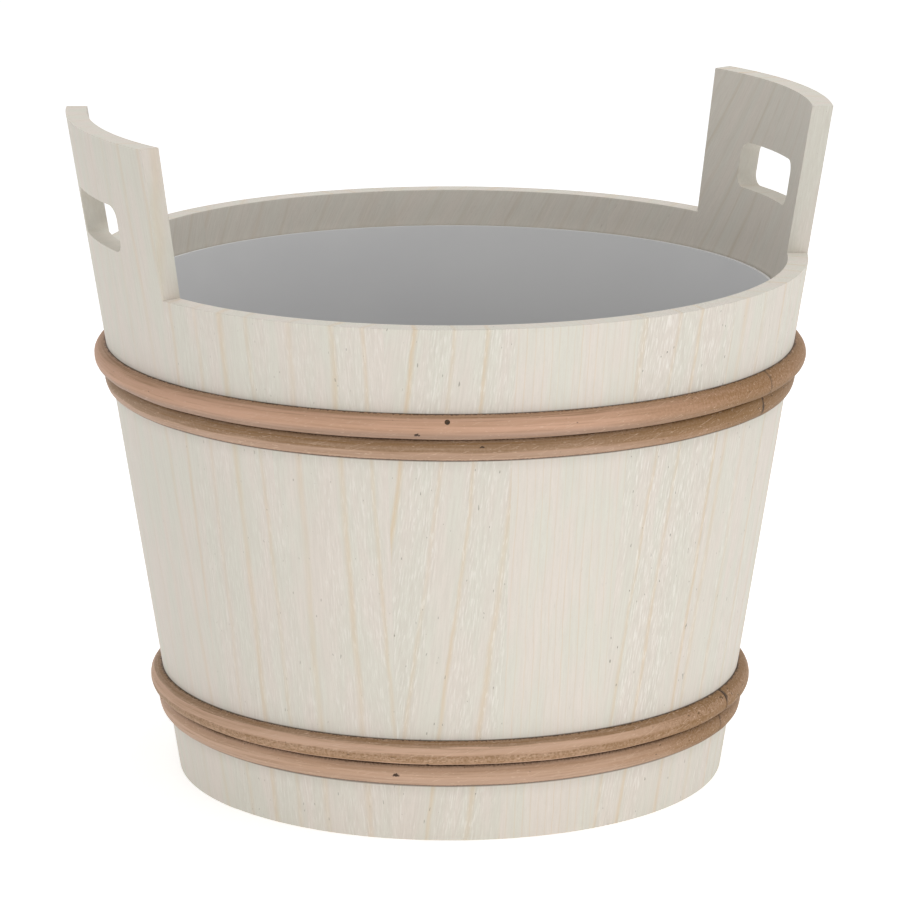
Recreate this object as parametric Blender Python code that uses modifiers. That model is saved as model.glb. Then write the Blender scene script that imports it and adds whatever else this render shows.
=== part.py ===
# Coopered sauna bucket: tapered staves, two slotted ears, split-cane hoops,
# a boarded bottom set in a groove, and a loose plastic liner that lifts out.
# Metres, +Z up, origin on the floor under the bucket's axis, ears on the X axis.

import math

import bmesh
import bpy
from mathutils import Matrix
from mathutils import Vector

# Wall of staves
RIM_RADIUS = 0.1900
BASE_RADIUS = 0.1469
RIM_HEIGHT = 0.2791
WALL = 0.0110
EAR_RISE = 0.0790
STAVE_COUNT = 18
STAVE_FACETS = 5
SEAM_GAP = 0.0003
ARRIS = 0.0008

# Hand slot in each ear, measured on the ear's chord and up from the rim
SLOT_WIDTH = 0.0661
SLOT_HEIGHT = 0.0245
SLOT_RISE = 0.0190
SLOT_CORNER = 0.0067
SLOT_CORNER_STEPS = 4

# Bottom boards and the groove that holds them
CROZE_HEIGHT = 0.0150
CROZE_DEPTH = 0.0040
BOARD_THICKNESS = 0.0120
BOARD_COUNT = 4
TONGUE_THICKNESS = 0.0040
TONGUE_DEPTH = 0.0050

# Split-cane hoops, in two pairs; heights are of each pair's parting line
UPPER_PAIR_HEIGHT = 0.2217
UPPER_TOP_WIDTH = 0.0131
UPPER_TOP_BULGE = 0.0074
UPPER_UNDER_WIDTH = 0.0119
UPPER_UNDER_BULGE = 0.0036
LOWER_PAIR_HEIGHT = 0.0440
LOWER_TOP_WIDTH = 0.0127
LOWER_TOP_BULGE = 0.0073
LOWER_UNDER_WIDTH = 0.0124
LOWER_UNDER_BULGE = 0.0048
CANE_STEPS = 7
SCARF_LENGTH = 0.0080
SCARF_GAP = 0.0004

# Nails through the hoops, driven square to the cane's round face
NAIL_LENGTH = 0.0120
NAIL_SHANK_RADIUS = 0.0008
NAIL_HEAD_RADIUS = 0.0014
NAIL_HEAD_HEIGHT = 0.0008
NAIL_TURN = math.radians(44)
NAIL_SIDES = 10

# Loose liner
LINER_WALL = 0.0022
LINER_CLEARANCE = 0.0012
LINER_DROP = 0.0197
LINER_FILLET = 0.0120
LINER_FILLET_STEPS = 4

# Gap kept wherever one piece is fitted to another
FIT = 0.0003

STAVE_ANGLE = math.tau / STAVE_COUNT
RING_STEPS = STAVE_COUNT * STAVE_FACETS
TAPER = math.atan2(RIM_RADIUS - BASE_RADIUS, RIM_HEIGHT)
EAR_HEIGHT = RIM_HEIGHT + EAR_RISE
CROZE_TOP = CROZE_HEIGHT + BOARD_THICKNESS + 2 * FIT
BOARD_TOP = CROZE_HEIGHT + FIT + BOARD_THICKNESS


def outer_radius(height):
    return BASE_RADIUS + height * math.tan(TAPER)


def inner_radius(height):
    return outer_radius(height) - WALL


def groove_radius():
    return inner_radius(CROZE_HEIGHT) + CROZE_DEPTH


def clear_scene():
    for item in list(bpy.data.objects):
        bpy.data.objects.remove(item, do_unlink=True)


def add_collection(name):
    collection = bpy.data.collections.new(name)
    bpy.context.scene.collection.children.link(collection)
    return collection


def add_material(name, colour, roughness, metallic=0.0):
    material = bpy.data.materials.new(name)
    material.use_nodes = True
    shader = material.node_tree.nodes["Principled BSDF"]
    shader.inputs["Base Color"].default_value = (*colour, 1.0)
    shader.inputs["Roughness"].default_value = roughness
    shader.inputs["Metallic"].default_value = metallic
    return material


def add_object(name, bm, collection, material=None):
    # Outward faces, smooth shading with crisp corners
    bmesh.ops.recalc_face_normals(bm, faces=bm.faces[:])
    mesh = bpy.data.meshes.new(name)
    bm.to_mesh(mesh)
    bm.free()
    mesh.shade_smooth()
    mesh.set_sharp_from_angle(angle=math.radians(30))
    item = bpy.data.objects.new(name, mesh)
    collection.objects.link(item)
    if material:
        mesh.materials.append(material)
    return item


def add_cutter(name, bm, collection):
    item = add_object(name, bm, collection)
    item.hide_render = True
    item.display_type = "WIRE"
    return item


def cut(item, cutter, operation="DIFFERENCE"):
    modifier = item.modifiers.new(cutter.name, "BOOLEAN")
    modifier.operation = operation
    modifier.solver = "EXACT"
    modifier.object = cutter


def spun_solid(profile, angle, steps):
    # A filled radius-and-height outline swept round the Z axis from +X
    bm = bmesh.new()
    corners = [bm.verts.new((radius, 0, height)) for radius, height in profile]
    bm.faces.new(corners)
    geometry = bm.verts[:] + bm.edges[:] + bm.faces[:]
    bmesh.ops.spin(bm, geom=geometry, cent=(0, 0, 0), axis=(0, 0, 1), angle=angle, steps=steps)
    return bm


def turned_object(name, profile, steps, collection, material=None):
    # A profile that starts and ends on the axis, turned a full circle
    bm = bmesh.new()
    points = [bm.verts.new((radius, 0, height)) for radius, height in profile]
    for start, end in zip(points, points[1:]):
        bm.edges.new((start, end))
    mesh = bpy.data.meshes.new(name)
    bm.to_mesh(mesh)
    bm.free()
    item = bpy.data.objects.new(name, mesh)
    collection.objects.link(item)
    screw = item.modifiers.new("turned", "SCREW")
    screw.steps = steps
    screw.render_steps = steps
    screw.use_merge_vertices = True
    screw.merge_threshold = 0.00001
    screw.use_smooth_shade = True
    if material:
        mesh.materials.append(material)
    return item


def stave_profile(top):
    return [
        (outer_radius(top - ARRIS), top - ARRIS),
        (outer_radius(top) - ARRIS, top),
        (inner_radius(top) + ARRIS, top),
        (inner_radius(top - ARRIS), top - ARRIS),
        (inner_radius(CROZE_TOP), CROZE_TOP),
        (groove_radius(), CROZE_TOP),
        (groove_radius(), CROZE_HEIGHT),
        (inner_radius(CROZE_HEIGHT), CROZE_HEIGHT),
        (inner_radius(ARRIS), ARRIS),
        (inner_radius(0) + ARRIS, 0),
        (outer_radius(0) - ARRIS, 0),
        (outer_radius(ARRIS), ARRIS),
    ]


def stave_names():
    # Going round from +X; the two staves on each side of the X axis form an ear
    half = STAVE_COUNT // 2
    names = {
        0: "right_ear_stave_back",
        STAVE_COUNT - 1: "right_ear_stave_front",
        half - 1: "left_ear_stave_back",
        half: "left_ear_stave_front",
    }
    plain = [index for index in range(STAVE_COUNT) if index not in names]
    for number, index in enumerate(plain, 1):
        names[index] = f"stave_{number:02d}"
    return names


def add_staves(collection, material):
    seam_angle = SEAM_GAP / RIM_RADIUS
    staves = {}
    for index, name in sorted(stave_names().items()):
        top = EAR_HEIGHT if "ear" in name else RIM_HEIGHT
        bm = spun_solid(stave_profile(top), STAVE_ANGLE - seam_angle, STAVE_FACETS)
        turn = index * STAVE_ANGLE + seam_angle / 2
        bmesh.ops.rotate(bm, verts=bm.verts[:], matrix=Matrix.Rotation(turn, 3, "Z"))
        staves[index] = add_object(name, bm, collection, material)
    return staves


def add_hand_slots(staves, cutters):
    # One straight round-cornered slot through both staves of each ear
    reach = 2 * WALL
    middle = RIM_HEIGHT + SLOT_RISE + SLOT_HEIGHT / 2
    for side, pair in ((1, (0, STAVE_COUNT - 1)), (-1, (STAVE_COUNT // 2 - 1, STAVE_COUNT // 2))):
        bm = bmesh.new()
        bmesh.ops.create_cube(bm, size=1.0)
        length = 2 * reach + outer_radius(EAR_HEIGHT) - inner_radius(RIM_HEIGHT)
        bmesh.ops.scale(bm, verts=bm.verts[:], vec=(length, SLOT_WIDTH, SLOT_HEIGHT))
        along = [edge for edge in bm.edges if abs(edge.verts[0].co.x - edge.verts[1].co.x) > length / 2]
        bmesh.ops.bevel(
            bm,
            geom=along,
            offset=min(SLOT_CORNER, SLOT_HEIGHT / 2 - FIT),
            segments=SLOT_CORNER_STEPS,
            profile=0.5,
            affect="EDGES",
        )
        centre = (side * (outer_radius(middle) - WALL / 2), 0, middle)
        bmesh.ops.translate(bm, verts=bm.verts[:], vec=centre)
        cutter = add_cutter("right_slot_cutter" if side > 0 else "left_slot_cutter", bm, cutters)
        for index in pair:
            cut(staves[index], cutter)


def board_profile(low, high, first, last):
    # Width-and-height outline with a groove on the low edge and a tongue on the high edge
    base = CROZE_HEIGHT + FIT
    middle = base + BOARD_THICKNESS / 2
    groove_half = TONGUE_THICKNESS / 2 + FIT
    tongue_half = TONGUE_THICKNESS / 2
    outline = [(low, base)]
    if not first:
        outline.append((low, middle - groove_half))
        outline.append((low + TONGUE_DEPTH + FIT, middle - groove_half))
        outline.append((low + TONGUE_DEPTH + FIT, middle + groove_half))
        outline.append((low, middle + groove_half))
    outline.append((low, BOARD_TOP))
    outline.append((high, BOARD_TOP))
    if not last:
        outline.append((high, middle + tongue_half))
        outline.append((high + TONGUE_DEPTH, middle + tongue_half))
        outline.append((high + TONGUE_DEPTH, middle - tongue_half))
        outline.append((high, middle - tongue_half))
    outline.append((high, base))
    return outline


def add_bottom_boards(collection, cutters, material):
    # Planks along X, trimmed together to the round that sits in the groove
    radius = groove_radius() - FIT
    bm = bmesh.new()
    bmesh.ops.create_cone(
        bm,
        cap_ends=True,
        segments=RING_STEPS,
        radius1=radius,
        radius2=radius,
        depth=2 * BOARD_THICKNESS,
    )
    bmesh.ops.translate(bm, verts=bm.verts[:], vec=(0, 0, CROZE_HEIGHT + BOARD_THICKNESS / 2))
    trimmer = add_cutter("bottom_round_cutter", bm, cutters)
    pitch = 2 * radius / BOARD_COUNT
    overrun = radius + BOARD_THICKNESS
    for number in range(BOARD_COUNT):
        first = number == 0
        last = number == BOARD_COUNT - 1
        low = -overrun if first else number * pitch - radius + FIT / 2
        high = overrun if last else (number + 1) * pitch - radius - FIT / 2
        bm = bmesh.new()
        outline = board_profile(low, high, first, last)
        face = bm.faces.new([bm.verts.new((-overrun, y, z)) for y, z in outline])
        swept = bmesh.ops.extrude_face_region(bm, geom=[face])["geom"]
        ends = [vert for vert in swept if isinstance(vert, bmesh.types.BMVert)]
        bmesh.ops.translate(bm, verts=ends, vec=(2 * overrun, 0, 0))
        board = add_object(f"bottom_board_{number + 1}", bm, collection, material)
        cut(board, trimmer, "INTERSECT")


def wall_point(height, up, out):
    # A point by its distance up the slope and out from the wall, as radius and height
    radius = outer_radius(height) + up * math.sin(TAPER) + out * math.cos(TAPER)
    return radius, height + up * math.cos(TAPER) - out * math.sin(TAPER)


def hoop_list():
    # Each hoop's parting-line height, offset up the wall, half width, bulge, joint and nails
    upper = UPPER_PAIR_HEIGHT
    lower = LOWER_PAIR_HEIGHT
    upper_joint = math.radians(-48)
    lower_joint = math.radians(-44)
    front = math.radians(-110.4)
    back_right = math.radians(50)
    back_left = math.radians(130)
    back = math.radians(90)
    return [
        ("upper_pair_top_hoop", upper, 1, UPPER_TOP_WIDTH / 2, UPPER_TOP_BULGE, upper_joint, (front, back)),
        ("upper_pair_under_hoop", upper, -1, UPPER_UNDER_WIDTH / 2, UPPER_UNDER_BULGE, upper_joint,
         (back_right, back_left)),
        ("lower_pair_top_hoop", lower, 1, LOWER_TOP_WIDTH / 2, LOWER_TOP_BULGE, lower_joint,
         (back_right, back_left)),
        ("lower_pair_under_hoop", lower, -1, LOWER_UNDER_WIDTH / 2, LOWER_UNDER_BULGE, lower_joint,
         (back, math.radians(170))),
    ]


def add_hoop(name, height, side, half_width, bulge, joint, collection, material):
    # A flat-backed cane bent round the wall, its two ends lapped in a slanted scarf
    centre = side * (half_width + FIT / 2)
    depth = bulge - FIT
    profile = []
    for step in range(CANE_STEPS + 1):
        turn = math.pi * (step / CANE_STEPS - 0.5)
        up = centre + half_width * math.sin(turn)
        profile.append(wall_point(height, up, FIT + depth * math.cos(turn)))
    reach = outer_radius(height) + bulge
    gap_angle = SCARF_GAP / reach
    bm = spun_solid(profile, math.tau - gap_angle, RING_STEPS)
    lapped = [vert for vert in bm.verts if abs(math.atan2(vert.co.y, vert.co.x)) < 2 * gap_angle]
    seat = min(radius for radius, _ in profile)
    for vert in lapped:
        radius = math.hypot(vert.co.x, vert.co.y)
        lead = SCARF_LENGTH / reach * (radius - seat) / bulge
        vert.co = Matrix.Rotation(lead, 3, "Z") @ vert.co
    bmesh.ops.rotate(bm, verts=bm.verts[:], matrix=Matrix.Rotation(joint, 3, "Z"))
    return add_object(name, bm, collection, material)


def nail_profile(gap):
    # From the middle of the head down to the point, on the nail's own axis
    point = NAIL_SHANK_RADIUS
    return [
        (0, gap),
        (NAIL_HEAD_RADIUS + gap, gap),
        (NAIL_HEAD_RADIUS + gap, -NAIL_HEAD_HEIGHT - gap),
        (NAIL_SHANK_RADIUS + gap, -NAIL_HEAD_HEIGHT - gap),
        (NAIL_SHANK_RADIUS + gap, point - NAIL_LENGTH),
        (0, -NAIL_LENGTH - gap),
    ]


def nail_frame(height, side, half_width, bulge, azimuth):
    # On the cane's face, a little above its crest, square to the surface there
    depth = bulge - FIT
    up = side * (half_width + FIT / 2) + half_width * math.sin(NAIL_TURN)
    radius, level = wall_point(height, up, FIT + depth * math.cos(NAIL_TURN))
    lean = math.atan2(depth * math.sin(NAIL_TURN), half_width * math.cos(NAIL_TURN)) - TAPER
    place = Matrix.Translation(Vector((radius, 0, level)))
    slant = Matrix.Rotation(math.pi / 2 - lean, 4, "Y")
    return Matrix.Rotation(azimuth, 4, "Z") @ place @ slant


def add_hoops(staves, collection, cutters, cane, steel):
    for name, height, side, half_width, bulge, joint, nails in hoop_list():
        hoop = add_hoop(name, height, side, half_width, bulge, joint, collection, cane)
        for number, azimuth in enumerate(nails, 1):
            frame = nail_frame(height, side, half_width, bulge, azimuth)
            nail = turned_object(f"{name}_nail_{number}", nail_profile(0), NAIL_SIDES, collection, steel)
            nail.matrix_world = frame
            hole = turned_object(f"{nail.name}_cutter", nail_profile(FIT), NAIL_SIDES, cutters)
            hole.matrix_world = frame
            hole.hide_render = True
            hole.display_type = "WIRE"
            cut(hoop, hole)
            cut(staves[int(azimuth % math.tau / STAVE_ANGLE)], hole)


def liner_profile():
    # From the middle of the floor, out and up the inside, over the rim and down the outside
    floor = BOARD_TOP + FIT
    rim = RIM_HEIGHT - LINER_DROP
    inset = LINER_CLEARANCE + LINER_WALL
    inner_fillet = LINER_FILLET - LINER_WALL

    def rounded(corner_inset, level, radius):
        # Points of the fillet where the sloping wall turns into a flat floor
        sweep = math.pi / 2 - TAPER
        reach = radius * math.tan(sweep / 2)
        centre = inner_radius(level) - corner_inset - reach
        turns = [sweep * step / LINER_FILLET_STEPS for step in range(LINER_FILLET_STEPS + 1)]
        return [(centre + radius * math.sin(turn), level + radius * (1 - math.cos(turn))) for turn in turns]

    inside = rounded(inset, floor + LINER_WALL, inner_fillet)
    outside = rounded(LINER_CLEARANCE, floor, LINER_FILLET)
    edge = LINER_WALL / 4
    lip = [
        (inner_radius(rim - edge) - inset, rim - edge),
        (inner_radius(rim) - inset + edge, rim),
        (inner_radius(rim) - LINER_CLEARANCE - edge, rim),
        (inner_radius(rim - edge) - LINER_CLEARANCE, rim - edge),
    ]
    return [(0, floor + LINER_WALL)] + inside + lip + outside[::-1] + [(0, floor)]


def build():
    clear_scene()
    bucket = add_collection("sauna_bucket")
    cutters = add_collection("cutters")
    aspen = add_material("aspen", (0.68, 0.62, 0.54), 0.6)
    cane = add_material("split_cane", (0.50, 0.34, 0.24), 0.5)
    plastic = add_material("grey_plastic", (0.37, 0.37, 0.38), 0.45)
    steel = add_material("dark_steel", (0.06, 0.05, 0.04), 0.5, 1.0)
    staves = add_staves(bucket, aspen)
    add_hand_slots(staves, cutters)
    add_bottom_boards(bucket, cutters, aspen)
    add_hoops(staves, bucket, cutters, cane, steel)
    turned_object("liner", liner_profile(), RING_STEPS, bucket, plastic)


build()
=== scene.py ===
import math
import random

import bmesh
import bpy
from mathutils import Matrix, Vector


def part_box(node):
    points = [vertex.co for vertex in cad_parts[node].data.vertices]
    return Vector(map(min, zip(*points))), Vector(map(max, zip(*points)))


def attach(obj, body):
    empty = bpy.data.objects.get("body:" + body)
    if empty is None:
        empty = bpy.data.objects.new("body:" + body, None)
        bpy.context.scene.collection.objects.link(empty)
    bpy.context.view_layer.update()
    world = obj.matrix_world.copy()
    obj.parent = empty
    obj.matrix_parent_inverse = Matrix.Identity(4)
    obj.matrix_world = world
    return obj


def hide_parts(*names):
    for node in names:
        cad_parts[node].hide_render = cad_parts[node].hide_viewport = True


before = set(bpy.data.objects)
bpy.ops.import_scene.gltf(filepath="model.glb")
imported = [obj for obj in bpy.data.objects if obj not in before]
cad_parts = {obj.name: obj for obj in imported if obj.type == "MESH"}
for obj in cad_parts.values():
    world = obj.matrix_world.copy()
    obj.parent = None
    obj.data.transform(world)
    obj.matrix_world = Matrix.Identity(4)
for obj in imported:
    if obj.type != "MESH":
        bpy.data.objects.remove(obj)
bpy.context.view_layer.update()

random.seed(7)
print("frame loaded:", len(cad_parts), "nodes")

# the turned cone that everything sits on, in metres
cone = {
    "rimRadius": 0.1900,
    "baseRadius": 0.1469,
    "rimHeight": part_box("stave_04")[1][2],
    "earHeight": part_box("left_ear_stave_back")[1][2],
    "wall": 0.0110,
    "staves": 18,
}
taper = math.atan2(cone["rimRadius"] - cone["baseRadius"], cone["rimHeight"])
staveTurn = math.tau / cone["staves"]

# how near counts as there, in metres, and for an ear's side in radians
within = {
    "weld": 0.00001,
    "level": 0.0001,
    "slot": 0.0003,
    "face": 0.0004,
    "seam": 0.0005,
    "rise": 0.001,
    "ring": 0.001,
    "side": 0.002,
}

# how an eased edge is rounded
easing = {"segments": 2, "profile": 0.6}


def outerRadius(height):
    return cone["baseRadius"] + height * math.tan(taper)


def innerRadius(height):
    return outerRadius(height) - cone["wall"]


# working as by hand: one active piece, everything else deselected
def deselectAll():
    objectMode()
    bpy.ops.object.select_all(action="DESELECT")


def objectMode():
    if bpy.context.mode != "OBJECT":
        bpy.ops.object.mode_set(mode="OBJECT")


def editMode():
    bpy.ops.object.mode_set(mode="EDIT")


def selectOnly(piece):
    deselectAll()
    piece.select_set(True)
    bpy.context.view_layer.objects.active = piece


def applyPlace():
    bpy.ops.object.transform_apply(location=True, rotation=True, scale=True)


def namePiece(name):
    piece = bpy.context.active_object
    piece.name = name
    piece.data.name = name
    return piece


def startPiece(name):
    piece = namePiece(name)
    applyPlace()
    editMode()
    return piece


def copyPiece(pattern, name, place):
    # a copy with its own mesh, moved to its place
    selectOnly(pattern)
    bpy.ops.object.duplicate()
    piece = namePiece(name)
    piece.matrix_world = place
    applyPlace()
    return piece


def discard(piece):
    # its object goes with its mesh
    bpy.data.meshes.remove(piece.data)


def choose(kind, test):
    # selects verts, edges or faces of the piece in edit mode by where they are
    mesh = bmesh.from_edit_mesh(bpy.context.active_object.data)
    bpy.ops.mesh.select_mode(type=kind)
    bpy.ops.mesh.select_all(action="DESELECT")
    group = {"VERT": mesh.verts, "EDGE": mesh.edges, "FACE": mesh.faces}[kind]
    for item in group:
        if kind == "VERT":
            item.select = test(item.co)
        elif kind == "EDGE":
            item.select = test(item.verts[0].co, item.verts[1].co)
        else:
            item.select = test(item.calc_center_median())
    mesh.select_flush_mode()
    bmesh.update_edit_mesh(bpy.context.active_object.data)


def chooseAll():
    bpy.ops.mesh.select_all(action="SELECT")


def closeSolid():
    chooseAll()
    bpy.ops.mesh.remove_doubles(threshold=within["weld"])
    bpy.ops.mesh.select_mode(type="EDGE")
    bpy.ops.mesh.select_all(action="DESELECT")
    bpy.ops.mesh.select_non_manifold(extend=False)
    mesh = bmesh.from_edit_mesh(bpy.context.active_object.data)
    if any(edge.select for edge in mesh.edges):
        bpy.ops.mesh.edge_face_add()
    turnOutwards()


def turnOutwards():
    chooseAll()
    bpy.ops.mesh.normals_make_consistent(inside=False)


def useModifier(piece, kind, **settings):
    bpy.context.view_layer.objects.active = piece
    modifier = piece.modifiers.new(kind.lower(), kind)
    for key, value in settings.items():
        setattr(modifier, key, value)
    bpy.ops.object.modifier_apply(modifier=modifier.name)


def smooth(piece, degrees=30):
    selectOnly(piece)
    bpy.ops.object.shade_smooth_by_angle(angle=math.radians(degrees))


def easeEdges(piece, width, test):
    # rounds the edges that the test picks, through a weighted bevel
    objectMode()
    mesh = piece.data
    weights = mesh.attributes.new("bevel_weight_edge", "FLOAT", "EDGE")
    for edge in mesh.edges:
        first, second = (mesh.vertices[index].co for index in edge.vertices)
        weights.data[edge.index].value = 1.0 if test(first, second) else 0.0
    useModifier(piece, "BEVEL", width=width, limit_method="WEIGHT", **easing)


def roundTheAxis(first, second):
    # an edge that runs round the bucket, not through the wall
    return abs(first.xy.length - second.xy.length) < within["ring"]


def spreadAttribute(piece, name, values):
    # one vector per point, for a finish that follows the piece
    data = piece.data.attributes.new(name, "FLOAT_VECTOR", "POINT")
    for vert, value in zip(data.data, values):
        vert.vector = value


# shader values that take Python operators
class Wire:
    def __init__(self, bench, socket):
        self.bench = bench
        self.socket = socket

    def pick(self, name):
        # another output of the same node
        return Wire(self.bench, self.socket.node.outputs[name])

    def maths(self, operation, *values):
        return self.bench.node("ShaderNodeMath", {"operation": operation}, dict(enumerate(values)))

    def __add__(self, other):
        return self.maths("ADD", self, other)

    def __radd__(self, other):
        return self.maths("ADD", other, self)

    def __sub__(self, other):
        return self.maths("SUBTRACT", self, other)

    def __rsub__(self, other):
        return self.maths("SUBTRACT", other, self)

    def __mul__(self, other):
        return self.maths("MULTIPLY", self, other)

    def __rmul__(self, other):
        return self.maths("MULTIPLY", other, self)

    def __truediv__(self, other):
        return self.maths("DIVIDE", self, other)

    def __rtruediv__(self, other):
        return self.maths("DIVIDE", other, self)

    def fract(self):
        return self.maths("FRACT", self)

    def floor(self):
        return self.maths("FLOOR", self)

    def root(self):
        return self.maths("SQRT", self)

    def atMost(self, limit):
        return self.maths("MINIMUM", self, limit)

    def atLeast(self, least):
        # 0 to 1 squeezed into least to 1
        return least + (1 - least) * self

    def span(self, low, high):
        # 0 below low, 1 above high, eased between
        settings = {"interpolation_type": "SMOOTHSTEP", "clamp": True}
        return self.bench.node("ShaderNodeMapRange", settings, {0: self, 1: low, 2: high})

    def shown(self, layer):
        # where a layer of noise shows, and how strongly
        return self.span(*layer["shows"]) * layer["depth"]


# the nodes of one material or world
class Bench:
    def __init__(self, owner, shader="Principled BSDF"):
        owner.use_nodes = True
        self.owner = owner
        self.tree = owner.node_tree
        self.shader = self.tree.nodes[shader]

    def node(self, kind, settings=None, values=None, out=0):
        item = self.tree.nodes.new(kind)
        for key, value in (settings or {}).items():
            setattr(item, key, value)
        for key, value in (values or {}).items():
            self.feed(item.inputs[key], value)
        return Wire(self, item.outputs[out])

    def feed(self, socket, value):
        if isinstance(value, Wire):
            self.tree.links.new(value.socket, socket)
        else:
            socket.default_value = value

    def split(self, vector):
        parts = self.node("ShaderNodeSeparateXYZ", None, {0: vector})
        return [parts.pick(axis) for axis in "XYZ"]

    def attribute(self, name):
        return self.split(self.node("ShaderNodeAttribute", {"attribute_name": name}).pick("Vector"))

    def objectPlace(self):
        return self.split(self.node("ShaderNodeTexCoord").pick("Object"))

    def noise(self, x, y, z, detail=2.0):
        vector = self.node("ShaderNodeCombineXYZ", None, {0: x, 1: y, 2: z})
        return self.node("ShaderNodeTexNoise", None, {"Vector": vector, "Scale": 1.0, "Detail": detail})

    def mix(self, factor, first, second, way="MIX"):
        # a mix node's colours are its inputs 6 and 7 and its output 2
        settings = {"data_type": "RGBA", "blend_type": way}
        return self.node("ShaderNodeMix", settings, {0: factor, 6: first, 7: second}, 2)

    def bump(self, height, strength, distance):
        values = {"Height": height, "Strength": strength, "Distance": distance}
        return self.node("ShaderNodeBump", None, values)

    def looked(self):
        # 1 for what the camera sees straight, in gloss or through something clear
        path = self.node("ShaderNodeLightPath")
        rays = ("Is Camera Ray", "Is Glossy Ray", "Is Transmission Ray")
        return sum(path.pick(ray) for ray in rays).atMost(1)

    def finish(self, **sockets):
        for name, value in sockets.items():
            self.feed(self.shader.inputs[name.replace("_", " ")], value)
        return self.owner


def newFinish(name):
    return Bench(bpy.data.materials.new(name))


def tone(red, green, blue):
    # a colour as it is read off a screen, made linear for the shader
    channels = [value / 255 for value in (red, green, blue)]
    linear = [v / 12.92 if v <= 0.04045 else ((v + 0.055) / 1.055) ** 2.4 for v in channels]
    return (*linear, 1.0)


def grey(level):
    return (level, level, level, 1.0)


# bare aspen, its tones and how its grain lies
aspen = {
    "rosy": tone(224, 215, 205),
    "green": tone(219, 216, 204),
    "shade": tone(206, 198, 186),
    "line": tone(215, 192, 157),
    "white": tone(241, 237, 229),
    "pore": tone(128, 117, 102),
    "paintedLight": 1.0,
    "roughness": 0.62,
    "slant": 0.0,
    "coarse": 1.0,
    "lines": 1.0,
}

# the same wood inside the bucket, greyed by damp, with the grain running aslant
insideAspen = {
    "rosy": tone(222, 214, 203),
    "green": tone(219, 214, 203),
    "shade": tone(201, 193, 181),
    "line": tone(200, 185, 162),
    "white": tone(224, 220, 212),
    "pore": tone(150, 138, 122),
    # painted light: the inner faces high up, on the ears, are made brighter
    "paintedLight": 1.09,
    "roughness": 0.66,
    "slant": 0.55,
    "coarse": 0.5,
    "lines": 0.7,
}

# and where the hand slots are sawn through, darker: painted shade
slotShadeAspen = {
    **insideAspen,
    "rosy": tone(215, 208, 196),
    "green": tone(212, 208, 197),
    "shade": tone(195, 188, 176),
    "paintedLight": 1.0,
    "slant": 0.2,
}

# noise in the wood: waves per metre across and along the grain, shift of its seed
aspenLayers = {
    "wave": {"waves": (4, 3), "shift": 0, "detail": 2.0, "depth": 0.008},
    "meander": {"waves": (30, 24), "shift": 0, "detail": 2.0, "depth": 0.0030},
    "ragged": {"waves": (160, 90), "shift": 0, "detail": 2.0, "depth": 0.0008},
    "patchy": {"waves": (60, 16), "shift": 0, "detail": 2.0, "shows": (0.35, 0.62), "depth": 1.0},
    "cloud": {"waves": (90, 16), "shift": 0, "detail": 2.0, "shows": (0.35, 0.65), "depth": 1.0},
    "fibre": {"waves": (1000, 56), "shift": 0, "detail": 3.0, "shows": (0.30, 0.70), "depth": 1.0},
    "strips": {"waves": (260, 9), "shift": 0, "detail": 2.0, "shows": (0.4, 0.7), "depth": 0.07},
    "speckle": {"waves": (1800, 420), "shift": 0, "detail": 1.0, "shows": (0.5, 0.75), "depth": 0.20},
    "zone": {"waves": (70, 3), "shift": 20, "detail": 2.0, "shows": (0.36, 0.56), "depth": 1.0},
    "ridged": {"waves": (1300, 150), "shift": 0, "detail": 2.0, "shows": (0.52, 0.68), "depth": 1.0},
    "pores": {"waves": (640, 230), "shift": 0, "detail": 1.0, "shows": (0.755, 0.78), "depth": 1.0},
}

# growth lines round the pith, as shares of the gap between them
growth = {
    "unevenWaves": 40,
    "uneven": 1.1,
    "late": {"shows": (0.55, 0.95), "depth": 0.08},
    "rise": (0.74, 0.90),
    "fall": (0.90, 1.0),
    "line": 0.72,
    "palestLine": 0.4,
    "thinnestLine": 0.6,
}

# how strongly the rest of the figure shows
aspenDepth = {
    "threads": 0.24,
    "coarseThreads": 0.20,
    "valleys": 0.40,
    "ridges": 0.60,
    "pores": 0.8,
    "paintedLightFrom": (0.28, 0.33),
    "fibreRoughness": 0.1,
    "fibreHeight": 0.3,
    "valleyHeight": 0.5,
    "bump": 0.35,
    "bumpHeight": 0.0003,
}

# where the hoops shut on the wall: painted shadow, a dark line close to the cane and a faint shade under it
hoopShadow = {
    "tone": tone(96, 78, 60),
    "bands": ((0.2101, 0.2346), (0.0313, 0.0566)),
    "above": (0.0001, 0.0006),
    "below": (0.0011, 0.0004),
    "line": 0.62,
    "softShade": 0.10,
    "softShadeReach": 0.008,
    "raggedWaves": (300, 90),
    "raggedSeed": 5.0,
    "ragged": 0.0003,
}


def growthLines(bench, radius, lineGap, seed):
    # how far a point lies from one line to the next, and how dark the line is there
    uneven = bench.noise(radius * growth["unevenWaves"], seed, 0.0, 1.0) - 0.5
    phase = radius / lineGap + uneven * growth["uneven"]
    ring = phase.fract()
    settings = {"noise_dimensions": "1D"}
    lineTone = bench.node("ShaderNodeTexWhiteNoise", settings, {"W": phase.floor() + seed})
    line = ring.span(*growth["rise"]) * (1 - ring.span(*growth["fall"]))
    return ring, line * lineTone.atLeast(growth["palestLine"])


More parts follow.
